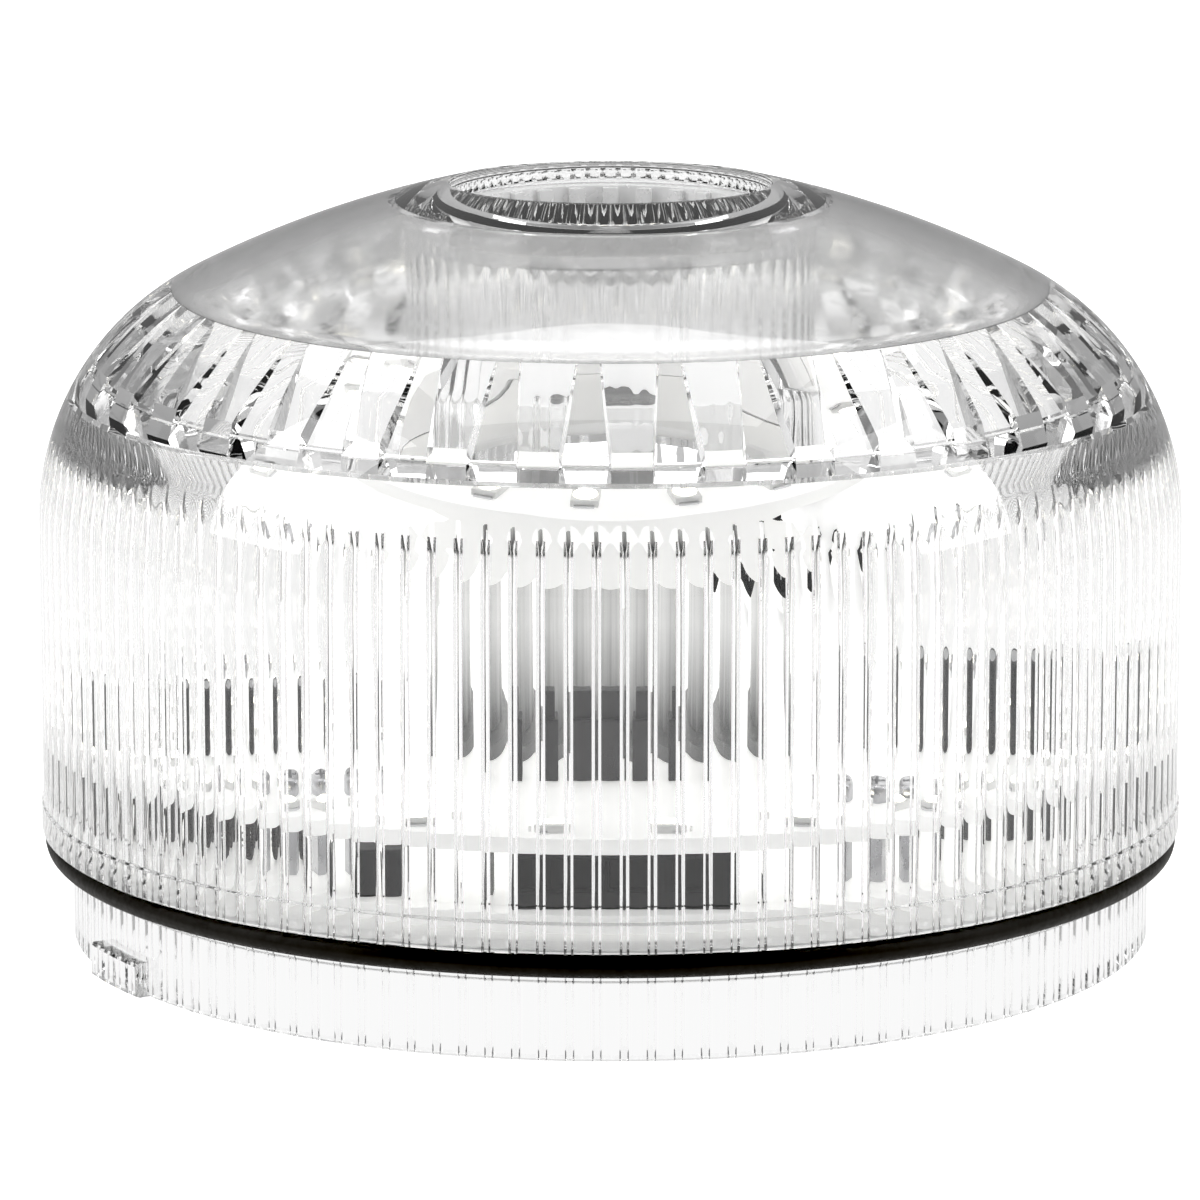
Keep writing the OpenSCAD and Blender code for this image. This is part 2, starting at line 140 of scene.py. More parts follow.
# ------------------------------------------------------------------ mesh builder
class Shell:
    def __init__(self):
        self.v, self.f = [], []

    def ring(self, th, r, z):
        th = np.asarray(th, float)
        r = np.broadcast_to(np.asarray(r, float), th.shape)
        z = np.broadcast_to(np.asarray(z, float), th.shape)
        base = len(self.v)
        self.v.extend(zip(r * np.cos(th), r * np.sin(th), z))
        return np.arange(base, base + len(th))

    def strip(self, a, b):
        n = len(a)
        for i in range(n):
            j = (i + 1) % n
            self.f.append((a[i], a[j], b[j], b[i]))

    def chain(self, rings):
        for a, b in zip(rings, rings[1:]):
            self.strip(a, b)

    def stitch(self, a, b):
        """joins two closed rings with different numbers of points, both in rising angle"""
        def ang(i):
            return math.atan2(self.v[i][1], self.v[i][0]) % (2 * math.pi)
        aa = sorted(a, key=ang)
        bb = sorted(b, key=ang)
        A = [ang(i) for i in aa] + [ang(aa[0]) + 2 * math.pi]
        B = [ang(i) for i in bb] + [ang(bb[0]) + 2 * math.pi]
        aa, bb = aa + [aa[0]], bb + [bb[0]]
        i = j = 0
        while i < len(aa) - 1 or j < len(bb) - 1:
            if j >= len(bb) - 1 or (i < len(aa) - 1 and A[i + 1] <= B[j + 1]):
                self.f.append((aa[i], aa[i + 1], bb[j]))
                i += 1
            else:
                self.f.append((aa[i], bb[j + 1], bb[j]))
                j += 1

    def build(self, name, merge=0.0005, sharp=28.0):
        me = bpy.data.meshes.new(name)
        bm = bmesh.new()
        vs = [bm.verts.new((x * MM, y * MM, z * MM)) for x, y, z in self.v]
        for f in self.f:
            k = []
            for i in f:
                if not k or vs[i] is not k[-1]:
                    k.append(vs[i])
            if len(set(k)) >= 3:
                try:
                    bm.faces.new(k)
                except ValueError:
                    pass
        bmesh.ops.remove_doubles(bm, verts=bm.verts, dist=merge * MM)
        bmesh.ops.dissolve_degenerate(bm, edges=bm.edges, dist=merge * MM * 0.5)
        bmesh.ops.recalc_face_normals(bm, faces=bm.faces)
        bm.to_mesh(me)
        bm.free()
        for p in me.polygons:
            p.use_smooth = True
        me.set_sharp_from_angle(angle=math.radians(sharp))
        ob = bpy.data.objects.new(name, me)
        scene.collection.objects.link(ob)
        return ob


def fillet(pts, n=3):
    """pts: (r, z, radius). Returns the outline with its corners rounded."""
    out = []
    for i, (x, y, rad) in enumerate(pts):
        if rad <= 0 or i in (0, len(pts) - 1):
            out.append((x, y))
            continue
        p = np.array((x, y), float)
        a = np.array(pts[i - 1][:2], float) - p
        b = np.array(pts[i + 1][:2], float) - p
        la, lb = np.linalg.norm(a), np.linalg.norm(b)
        a, b = a / la, b / lb
        ang = math.acos(max(-1, min(1, float(a @ b))))
        d = min(rad / math.tan(ang / 2), la * 0.49, lb * 0.49)
        s, e = p + a * d, p + b * d
        for k in range(n + 1):
            t = k / n
            q = (1 - t) ** 2 * s + 2 * t * (1 - t) * p + t * t * e
            out.append(tuple(q))
    return out


# ------------------------------------------------------------------ lens outline (mm)
SH_C, SH_R, TURN = (31.7, 44.2), 28.3, math.radians(63.25)
DM_R = 117.2
DM_C = (SH_C[0] - (DM_R - SH_R) * math.cos(TURN), SH_C[1] - (DM_R - SH_R) * math.sin(TURN))


def sh(t, k=0.0):
    return (SH_C[0] + (SH_R - k) * math.cos(t), SH_C[1] + (SH_R - k) * math.sin(t))


def dm(r, k=0.0):
    return (r, DM_C[1] + math.sqrt((DM_R - k) ** 2 - (r - DM_C[0]) ** 2))


MOUTH_R = 16.8
TUBE_R, TUBE_IN, TUBE_Z = 21.3, 18.8, 52.8
N_FL = 132
FLAT_R = 55.6
FL_DEPTH = 0.75
N_RIB = 36
CREASE = (44.5, 65.95)
LEDGE_R, LEDGE_Z = 50.7, 57.0


def build_lens():
    S = Shell()
    # outer skin, with the two bayonet lugs on the skirt
    lug_c = [math.radians(209), math.radians(29)]
    half = math.radians(5.3)
    base = list(np.radians(np.arange(480) * 0.75))
    lugs = []
    for c in lug_c:
        lugs += [c - half, c - half + 0.0012, c + half - 0.0012, c + half]
        base = [t for t in base if min(abs(((t - x + math.pi) % (2 * math.pi)) - math.pi) for x in (c - half, c + half)) > 0.004]
    th = np.array(sorted(base + [x % (2 * math.pi) for x in lugs]))
    inlug = np.array([any(abs(((t - c + math.pi) % (2 * math.pi)) - math.pi) < half - 0.0006 for c in lug_c) for t in th])
    rings = []
    for r, z, k in [(56.75, 0, 1.15), (57.0, 0.22, 1.4), (57.0, 1.2, 1.4), (57.0, 3.3, 1.4), (57.0, 3.58, 1.15), (57.0, 3.6, 0.0)]:
        rings.append(S.ring(th, r + k * inlug, z))
    out = fillet([(57.0, 3.7, 0), (57.0, 8.0, 0.2), (57.35, 8.25, 0.1), (57.35, 8.6, 0.1), (57.2, 8.75, 0.1), (57.2, 11.5, 0.15),
                  (60.2, 11.5, 0.35), (60.2, 14.55, 0.2), (60.0, 14.8, 0.2), (60.0, 20, 0)])
    out += [(60.0, z) for z in (26, 32, 38, 42)]
    out += [sh(TURN * i / 30) for i in range(31)]
    r0 = sh(TURN)[0]
    out += [dm(r0 + (17.5 - r0) * i / 28) for i in range(1, 29)]
    for r, z in out:
        rings.append(S.ring(th, r, z))
    # crown edge, bore and ledge for the grille, sound tube
    top = dm(MOUTH_R)
    inner = fillet([(17.5, dm(17.5)[1], 0), (MOUTH_R, top[1], 0.45), (MOUTH_R, 72.5, 0.0), (MOUTH_R - 1, 72.5, 0), (MOUTH_R - 1, 71.3, 0), (TUBE_IN, 71.3, 0), (TUBE_IN, 69, 0)])
    for r, z in inner[1:-1]:
        rings.append(S.ring(th, r, z))
    flute = 0.05 * np.cos(60 * th)
    for i, z in enumerate((70.6, 66, 62, 58, TUBE_Z + 0.3)):
        rings.append(S.ring(th, TUBE_IN + flute - 0.05 * (i == 4), z))
    rings.append(S.ring(th, TUBE_IN + 0.3, TUBE_Z))
    rings.append(S.ring(th, TUBE_R - 0.3, TUBE_Z))
    for z in (TUBE_Z + 0.3, 58, 62, 66, 70, 73):
        rings.append(S.ring(th, TUBE_R + 0.05 * (z > 70), z))
    zr = dm(TUBE_R + 1.2, 3.0)[1]
    rings.append(S.ring(th, TUBE_R + 0.1, zr - 1.0))
    rings.append(S.ring(th, TUBE_R + 0.4, zr - 0.25))
    rings.append(S.ring(th, TUBE_R + 1.2, zr))
    for i in range(1, 16):
        r = TUBE_R + 1.2 + (42.9 - TUBE_R - 1.2) * i / 15
        rings.append(S.ring(th, *dm(r, 3.0)))
    last = S.ring(th, CREASE[0] - 0.15, CREASE[1] + 0.06)
    rings.append(last)
    S.chain(rings)
    # wedge ribs and the windows between them
    pitch = 2 * math.pi / N_RIB
    a0 = math.radians(267.3)
    lev = []
    n_lev = 12
    for i in range(n_lev + 1):
        s = i / n_lev
        # window floor: a steep facet below the crown line, then a flatter one
        if s < 0.42:
            k = s / 0.42
            P = (CREASE[0] + (47.1 - CREASE[0]) * k, CREASE[1] + (62.6 - CREASE[1]) * k)
        else:
            k = (s - 0.42) / 0.58
            P = (47.1 + (LEDGE_R - 47.1) * k, 62.6 + (58.65 - 62.6) * k + 0.12 * math.sin(math.pi * k))
        Q = (CREASE[0] - 0.1 + (49.4 - CREASE[0]) * s, CREASE[1] - 0.1 + (57.2 - CREASE[1]) * s - 0.6 * math.sin(math.pi * s))
        w = (1.15 + (2.35 - 1.15) * s) / P[0]
        dr = 0.10 / P[0]
        cols, rr, zz = [], [], []
        for j in range(N_RIB):
            c = a0 + j * pitch
            for u, on in ((-w - dr, 0), (-w + dr, 1), (-w * 0.35, 1), (w * 0.35, 1), (w - dr, 1), (w + dr, 0)):
                cols.append(c + u)
                rr.append((P, Q)[on][0] if i else CREASE[0])
                zz.append((P, Q)[on][1] if i else CREASE[1])
            for u in (0.2, 0.4, 0.6, 0.8):
                cols.append(c + w + dr + (pitch - 2 * (w + dr)) * u)
                rr.append(P[0])
                zz.append(P[1])
        lev.append(S.ring(cols, rr, zz))
    rr = [50.0 if r < LEDGE_R - 0.5 else LEDGE_R for r in rr]
    foot = [S.ring(cols, rr, LEDGE_Z + 0.18), S.ring(cols, np.array(rr) + 0.12, LEDGE_Z)]
    S.chain(lev + foot)
    S.stitch(last, lev[0])
    # flutes
    p = 2 * math.pi / N_FL
    hw = 0.33
    win = [-1, -0.75, -0.5, -0.25, 0, 0.25, 0.5, 0.75, 1]
    arc = [-0.9, -0.66, -0.35, 0, 0.35, 0.66, 0.9]
    us = [hw * t for t in win] + [0.5 + (0.5 - hw) * t for t in arc]
    cols = np.array([(i + u) * p for i in range(N_FL) for u in us])
    sag = np.tile([1 - t * t for t in win] + [0] * len(arc), N_FL)
    rib = np.tile([0] * len(win) + [math.sqrt(1 - t * t) for t in arc], N_FL)
    fl = []
    lead = S.ring(cols, 53.6, LEDGE_Z)
    fl.append(lead)
    fl.append(S.ring(cols, 55.3, LEDGE_Z))
    fl.append(S.ring(cols, 55.7, LEDGE_Z - 0.4))
    fl.append(S.ring(cols, 55.75, 54.0))
    fl.append(S.ring(cols, FLAT_R, 53.2))
    for z, k in ((51.4, 0.0), (50.2, 0.75), (49.6, 1.0), (44, 1), (38, 1), (32, 1), (26, 1), (20, 1), (14, 1), (9.5, 0.8), (8, 0.55), (3, 0.5), (0.25, 0.5), (0.0, 0.4)):
        fl.append(S.ring(cols, FLAT_R - FL_DEPTH * rib * k - 0.10 * sag * min(1, k * 1.5), z))
    S.chain(fl)
    S.stitch(foot[-1], lead)
    S.stitch(fl[-1], rings[0])
    return S.build("lens_clear")


lens = build_lens()
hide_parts("lens_dome")
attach(lens, "module")
lens.data.materials.append(glass("clear_polycarbonate", wave=0.015))
lens.data.materials.append(glass("clear_polycarbonate_inner", wave=0.05, scale=55.0, rough=(0.06, 0.16)))
for q in lens.data.polygons:
    c = q.center / MM
    rad = math.hypot(c.x, c.y)
    if 22.6 < rad < 44.3 and abs(math.hypot(rad - DM_C[0], c.z - DM_C[1]) - (DM_R - 3.0)) < 0.25:
        q.material_index = 1

# ------------------------------------------------------------------ finishes for the CAD nodes
def column_with_painted_shade():
    """grey moulded column with painted shade: pale under the upper board, darker towards its foot, with faint draw
    marks
    """
    m, nt, p = nt_new("column_grey_painted_shade")
    tc = nt.nodes.new("ShaderNodeTexCoord")
    sep = nt.nodes.new("ShaderNodeSeparateXYZ")
    nt.links.new(tc.outputs["Object"], sep.inputs[0])
    # height ramp for the painted shade: dark at the column's foot, pale up under the upper board
    mr = nt.nodes.new("ShaderNodeMapRange")
    mr.inputs["From Min"].default_value = 0.022
    mr.inputs["From Max"].default_value = 0.040
    nt.links.new(sep.outputs["Z"], mr.inputs["Value"])
    streak = noise(nt, 700.0, 2.0, 0.5, 0.0, (1, 1, 0.02))
    add = nt.nodes.new("ShaderNodeMath")
    add.operation = "MULTIPLY_ADD"
    nt.links.new(streak, add.inputs[0])
    add.inputs[1].default_value = 0.5
    add.inputs[2].default_value = -0.25
    tot = nt.nodes.new("ShaderNodeMath")
    tot.operation = "ADD"
    nt.links.new(mr.outputs["Result"], tot.inputs[0])
    nt.links.new(add.outputs[0], tot.inputs[1])
    nt.links.new(ramp(nt, tot.outputs[0], 0.1, 0.75, (0.16, 0.16, 0.162), (0.8, 0.8, 0.8)), p.inputs["Base Color"])
    nt.links.new(ramp(nt, noise(nt, 900.0, 3.0), 0.3, 0.7, (0.4,) * 3, (0.52,) * 3), p.inputs["Roughness"])
    bump(nt, p, streak, 0.3, 0.01 * MM)
    return m


M = {}
M["black"] = plastic("black_moulded", (0.009, 0.009, 0.009), (0.016, 0.016, 0.016), (0.45, 0.6), spec=0.2)
M["rubber"] = plastic("seal_rubber", (0.016, 0.0145, 0.012), (0.022, 0.02, 0.017), (0.45, 0.6), scale=1500, spec=0.3)
M["white"] = plastic("white_moulded", (0.8, 0.8, 0.79), (0.86, 0.86, 0.85), (0.4, 0.55))
M["housing"] = plastic("sounder_housing", (0.78, 0.78, 0.78), (0.84, 0.84, 0.84), (0.4, 0.55))
# the sounder cap, the LED and control boards and the reflector carry a painted glow: emission on parts that are no
# lamps, standing in for the LEDs' light inside
M["cap"] = plastic("sounder_cap_white_painted_glow", (0.86, 0.86, 0.86), (0.9, 0.9, 0.9), (0.4, 0.55), emit=0.35)
M["board"] = plastic("white_board", (0.85, 0.85, 0.84), (0.9, 0.9, 0.89), (0.3, 0.42), emit=0.36)
M["reflector"] = plastic("reflector_gloss_painted_glow", (0.92, 0.92, 0.91), (0.95, 0.95, 0.95), (0.08, 0.14), emit=0.5)
M["led"] = plastic("led_lit", (1.0, 1.0, 0.98), (0.98, 0.98, 0.95), (0.3, 0.4), emit=5.0)
M["column"] = column_with_painted_shade()
M["silicone"] = plastic("white_silicone", (0.8, 0.8, 0.79), (0.85, 0.85, 0.84), (0.5, 0.6))
M["riser"] = plastic("riser_moulded", (0.035, 0.035, 0.037), (0.06, 0.06, 0.062), (0.35, 0.5))
M["epoxy"] = plastic("chip_epoxy", (0.011, 0.011, 0.012), (0.019, 0.019, 0.02), (0.5, 0.65), spec=0.22)
M["sleeve"] = plastic("capacitor_sleeve", (0.008, 0.008, 0.009), (0.013, 0.013, 0.014), (0.22, 0.3), coat=0.15, spec=0.3)
M["steel"] = plastic("plated_steel", (0.44, 0.44, 0.455), (0.54, 0.54, 0.555), (0.24, 0.36), metallic=1.0)
M["brass"] = plastic("piezo_brass", (0.66, 0.5, 0.22), (0.74, 0.57, 0.27), (0.25, 0.36), metallic=1.0)
M["ceramic"] = plastic("piezo_ceramic", (0.8, 0.79, 0.75), (0.86, 0.85, 0.81), (0.5, 0.62))
# the closure plate carries a faint painted glow (emission 0.1), though it is no lamp
M["plate"] = plastic("plate_moulded_painted_glow", (0.72, 0.72, 0.715), (0.78, 0.78, 0.775), (0.42, 0.58), scale=1600, emit=0.1)
M["gold"] = plastic("contact_gold", (0.8, 0.62, 0.28), (0.86, 0.68, 0.34), (0.16, 0.24), metallic=1.0)
M["spring"] = plastic("spring_wire", (0.5, 0.5, 0.52), (0.6, 0.6, 0.62), (0.22, 0.32), metallic=1.0)
M["switch"] = plastic("switch_moulded", (0.035, 0.05, 0.1), (0.045, 0.062, 0.12), (0.38, 0.5))
M["trimmer"] = plastic("trimmer_moulded", (0.06, 0.13, 0.35), (0.08, 0.16, 0.4), (0.35, 0.45))
M["mesh"] = plastic("mesh_weave", (0.2, 0.2, 0.2), (0.28, 0.28, 0.28), (0.6, 0.8))
M["throat"] = glass("throat_clear", wave=0.01, tint=(0.99, 0.99, 0.99))
M["grille"] = glass("grille_frosted", wave=0.02, rough=(0.22, 0.38), tint=(0.97, 0.97, 0.97), ior=1.4)
M["grille"].node_tree.nodes["Principled BSDF"].inputs["Transmission Weight"].default_value = 0.22
USE = {
    "o_ring_seal": "rubber", "horn_grille": "grille", "acoustic_mesh": "mesh", "horn_throat": "throat",
    "tube_gasket": "silicone", "piezo_gasket": "silicone", "sounder_cap": "cap", "sounder_port": "black", "piezo_disc": "brass",
    "piezo_ceramic": "ceramic", "sounder_body": "housing", "sounder_column": "column", "upper_led_board": "board", "upper_leds": "led",
    "led_driver_chips": "epoxy", "reflector": "reflector", "lower_led_board": "board", "lower_leds": "led", "bulk_capacitors": "sleeve",
    "board_header": "black", "board_spacers": "steel", "board_screws": "steel", "control_board": "board",
    "filter_capacitors": "sleeve", "driver_inductor": "epoxy", "ring_chokes": "epoxy", "riser_connector": "riser", "terminal_block": "black", "transformer": "epoxy",
    "microcontroller": "epoxy", "closure_plate": "plate", "plate_screws": "steel", "contact_carrier": "white",
    "tone_switch_body": "switch", "volume_trimmer": "trimmer", "volume_rotor": "white",
}
for i in range(1, 5):
    USE[f"contact_pin_{i}"] = "gold"
    USE[f"contact_spring_{i}"] = "spring"
for i in range(1, 6):
    USE[f"tone_slider_{i}"] = "white"
for n, k in USE.items():
    if n not in NODES:
        continue
    o = NODES[n]
    o.data.materials.clear()
    o.data.materials.append(M[k])


# ------------------------------------------------------------------ detailed pieces that stand in for plain CAD nodes
M["lit"] = plastic("led_phosphor", (1.0, 0.97, 0.84), (1.0, 0.94, 0.76), (0.3, 0.4), emit=5.0)
M["tin"] = plastic("tinned_lead", (0.62, 0.62, 0.63), (0.72, 0.72, 0.73), (0.25, 0.4), metallic=1.0)
M["alu"] = plastic("can_aluminium", (0.6, 0.6, 0.61), (0.68, 0.68, 0.69), (0.3, 0.42), metallic=1.0)
M["copper"] = plastic("winding_enamel", (0.02, 0.016, 0.015), (0.032, 0.026, 0.024), (0.22, 0.32), metallic=0.2, coat=0.4)
M["ferrite"] = plastic("ferrite_core", (0.018, 0.018, 0.02), (0.03, 0.03, 0.032), (0.5, 0.7))
M["wire"] = plastic("mesh_wire", (0.2, 0.2, 0.205), (0.3, 0.3, 0.305), (0.35, 0.5), metallic=0.7)


class Kit:
    """one mesh made of several closed solids, each with its own finish"""

    def __init__(self, *mats):
        self.bm = bmesh.new()
        self.mats = mats

    def _mark(self, faces, k):
        for f in faces:
            f.material_index = k

    def revolve(self, prof, c=(0, 0), seg=40, k=0, rot=None):
        """prof: (r, z) from the axis at one end to the axis at the other"""
        rings = []
        for r, z in prof:
            if r < 1e-6:
                rings.append([self.bm.verts.new(self._at((0, 0, z), c, rot))])
            else:
                rings.append([self.bm.verts.new(self._at((r * math.cos(2 * math.pi * i / seg), r * math.sin(2 * math.pi * i / seg), z), c, rot)) for i in range(seg)])
        made = []
        for a, b in zip(rings, rings[1:]):
            for i in range(seg):
                j = (i + 1) % seg
                q = [a[i % len(a)], a[j % len(a)], b[j % len(b)], b[i % len(b)]]
                u = []
                for v in q:
                    if v not in u:
                        u.append(v)
                if len(u) > 2:
                    made.append(self.bm.faces.new(u))
        if len(rings[0]) > 1 and prof[0] == prof[-1]:
            pass
        self._mark(made, k)
        return made

    def _at(self, v, c, rot):
        v = Vector(v)
        if rot is not None:
            v = rot @ v
        return Vector(((v.x + c[0]) * MM, (v.y + c[1]) * MM, (v.z + (c[2] if len(c) > 2 else 0)) * MM))

    def box(self, c, size, bev=0.12, k=0, angle=0.0, z=None):
        """c = (x, y), z = (low, high); a block with rounded edges, turned by angle about its own middle"""
        h = [size[0] / 2, size[1] / 2]
        vs = []
        ca, sa = math.cos(angle), math.sin(angle)
        for zz in z:
            for x, y in ((-h[0], -h[1]), (h[0], -h[1]), (h[0], h[1]), (-h[0], h[1])):
                vs.append(self.bm.verts.new(((c[0] + x * ca - y * sa) * MM, (c[1] + x * sa + y * ca) * MM, zz * MM)))
        fs = [self.bm.faces.new([vs[i] for i in q]) for q in ((3, 2, 1, 0), (4, 5, 6, 7), (0, 1, 5, 4), (1, 2, 6, 5), (2, 3, 7, 6), (3, 0, 4, 7))]
        self._mark(fs, k)
        es = {e for f in fs for e in f.edges}
        bmesh.ops.bevel(self.bm, geom=list(es), offset=bev * MM, segments=2, profile=0.6, affect="EDGES", material=k)

    def tube(self, pts, r, sides=8, k=0, closed=False):
        P = [Vector(p) for p in pts]
        n = len(P)
        rings = []
        up = None
        for i in range(n):
            a = P[(i - 1) % n] if (closed or i) else P[i]
            b = P[(i + 1) % n] if (closed or i < n - 1) else P[i]
            t = (b - a).normalized()
            if up is None:
                up = Vector((0, 0, 1)) if abs(t.z) < 0.9 else Vector((1, 0, 0))
            up = (up - t * up.dot(t)).normalized()
            w = t.cross(up)
            rings.append([self.bm.verts.new((P[i] + (up * math.cos(2 * math.pi * j / sides) + w * math.sin(2 * math.pi * j / sides)) * r) * MM) for j in range(sides)])
        made = []
        for i in range(n if closed else n - 1):
            a, b = rings[i], rings[(i + 1) % n]
            for j in range(sides):
                q = (j + 1) % sides
                made.append(self.bm.faces.new((a[j], b[j], b[q], a[q])))
        if not closed:
            made.append(self.bm.faces.new(rings[0]))
            made.append(self.bm.faces.new(rings[-1][::-1]))
        self._mark(made, k)

    def done(self, name, node, slot, body="module", sharp=35.0):
        me = bpy.data.meshes.new(name)
        bmesh.ops.recalc_face_normals(self.bm, faces=self.bm.faces)
        self.bm.to_mesh(me)
        self.bm.free()
        for p in me.polygons:
            p.use_smooth = True
        me.set_sharp_from_angle(angle=math.radians(sharp))
        ob = bpy.data.objects.new(name, me)
        scene.collection.objects.link(ob)
        for m in self.mats:
            me.materials.append(M[m])
        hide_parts(node)
        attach(ob, body)
        return ob


LOW_TOP, CTL_TOP, UP_TOP, UP_Z = 21.6, 13.1, 42.6, 41.0
if "o_ring_seal" in NODES:
    k = Kit("rubber")
    sec = []
    for j in range(40):
        b = 2 * math.pi * j / 40
        flash = 0.035 if j in (0, 20) else 0.0
        sec.append((58.52 + (1.3 + flash) * math.cos(b), 10.19 + 1.3 * math.sin(b)))
    k.revolve(sec + [sec[0]], seg=360)
    bmesh.ops.remove_doubles(k.bm, verts=k.bm.verts, dist=0.0002 * MM)
    k.done("seal_ring", "o_ring_seal", "seal_rubber", sharp=60)

pin_x = [-7.5, -2.5, 2.5, 7.5]
for i, x in enumerate(pin_x):
    k = Kit("spring")
    z0, z1, turns = 5.2, 11.3, 7
    pts = []
    n = turns * 22
    for q in range(n + 1):
        u = q / n * turns
        # the first and last turn lie flat, as a ground compression spring's do
        w = min(1.0, max(0.0, (u - 0.9) / (turns - 1.8)))
        pts.append((x + 0.88 * math.cos(2 * math.pi * u), 0.88 * math.sin(2 * math.pi * u), z0 + 0.3 * min(u, 0.9) / 0.9 + (z1 - z0 - 0.6) * w + 0.3 * max(0, u - turns + 0.9) / 0.9))
    k.tube(pts, 0.14, 10)
    ob = k.done(f"pin_spring_{i + 1}", f"contact_spring_{i + 1}", "spring_steel")
    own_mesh(ob)


def leds(name, node, count, r, z, offs):
    k = Kit("white", "lit", "tin")
    for i in range(count):
        a = (i + offs) * 2 * math.pi / count if offs == 0.5 else math.radians(offs) + i * 2 * math.pi / count
        c = (r * math.cos(a), r * math.sin(a))
        k.box(c, (3.2, 3.0), 0.14, 0, a, (z, z + 0.86))
        k.revolve([(0, z + 0.84), (1.28, z + 0.84), (1.26, z + 0.93), (1.12, z + 1.04), (0.85, z + 1.15), (0.5, z + 1.22), (0, z + 1.25)], c, 28, 1)
        for sgn in (-1, 1):
            d = (c[0] + sgn * 1.62 * math.cos(a), c[1] + sgn * 1.62 * math.sin(a))
            k.box(d, (0.5, 2.2), 0.05, 2, a, (z + 0.01, z + 0.3))
    k.done(name, node, "led_package")


if "upper_leds" in NODES:
    leds("upper_led_packages", "upper_leds", 18, 30, UP_TOP, 5)
    leds("lower_led_packages", "lower_leds", 24, 48.4, LOW_TOP, 0.5)


def cans(name, node, items, slot):
    k = Kit("sleeve", "alu", "rubber")
    for r, z0, z1, c in items:
        k.revolve([(0, z0), (r - 0.35, z0), (r - 0.1, z0 + 0.12), (r, z0 + 0.4), (r, z0 + 0.95), (r - 0.22, z0 + 1.25), (r - 0.22, z0 + 1.4), (r, z0 + 1.7),
                   (r, z1 - 0.45), (r - 0.12, z1 - 0.15), (r - 0.4, z1), (r - 0.75, z1), (r - 0.8, z1 - 0.14), (0, z1 - 0.14)], c, 56, 0)
        k.revolve([(0, z1 - 0.13), (r - 0.85, z1 - 0.13), (r - 0.9, z1 - 0.06), (0, z1 - 0.06)], c, 56, 1)
        for q in range(3):
            b = q * 2 * math.pi / 3 + 0.4
            k.box((c[0] + 0.42 * r * math.cos(b), c[1] + 0.42 * r * math.sin(b)), (0.66 * r, 0.16), 0.02, 1, b, (z1 - 0.1, z1 - 0.01))
    k.done(name, node, slot)


if "bulk_capacitors" in NODES:
    cans("bulk_cans", "bulk_capacitors", [(3.15, LOW_TOP, 28.6, (-39.5, -12)), (4, LOW_TOP, 31.4, (40.2, -10.8))], "capacitor_sleeve")
    cans("filter_cans", "filter_capacitors", [(3.15, CTL_TOP, 19.4, p) for p in ((-46, -8), (-43.5, -16.2), (-43, 4))], "capacitor_sleeve")

if "ring_chokes" in NODES:
    k = Kit("ferrite", "copper")
    for a in (208.5, 217):
        t = math.radians(a)
        o = Vector((44.6 * math.cos(t), 44.6 * math.sin(t), CTL_TOP + 3.1))
        er, et, ez = Vector((math.cos(t), math.sin(t), 0)), Vector((-math.sin(t), math.cos(t), 0)), Vector((0, 0, 1))
                # core: rounded rectangular section swept round the radial axis
        sec = []
        for j in range(24):
            b = 2 * math.pi * j / 24
            sx, sy = math.cos(b), math.sin(b)
            sec.append((2.25 + 0.68 * math.copysign(abs(sx) ** 0.6, sx), 1.12 * math.copysign(abs(sy) ** 0.6, sy)))
        rings = []
        for i in range(56):
            f = 2 * math.pi * i / 56
            d = et * math.cos(f) + ez * math.sin(f)
            rings.append([k.bm.verts.new((o + d * q[0] + er * q[1]) * MM) for q in sec])
        for i in range(56):
            A, B = rings[i], rings[(i + 1) % 56]
            for j in range(24):
                w = (j + 1) % 24
                k.bm.faces.new((A[j], B[j], B[w], A[w])).material_index = 0
        for i in range(22):
            f = math.radians(-62 + i * 304 / 21 + 0)
            d = et * math.cos(f) + ez * math.sin(f)
            loop = []
            for j in range(14):
                b = 2 * math.pi * j / 14
                sx, sy = math.cos(b), math.sin(b)
                loop.append(o + d * (2.25 + 0.74 * math.copysign(abs(sx) ** 0.6, sx)) + er * (1.19 * math.copysign(abs(sy) ** 0.6, sy)))
            k.tube(loop, 0.11, 6, 1, closed=True)
    k.done("ring_choke_windings", "ring_chokes", "chip_epoxy")


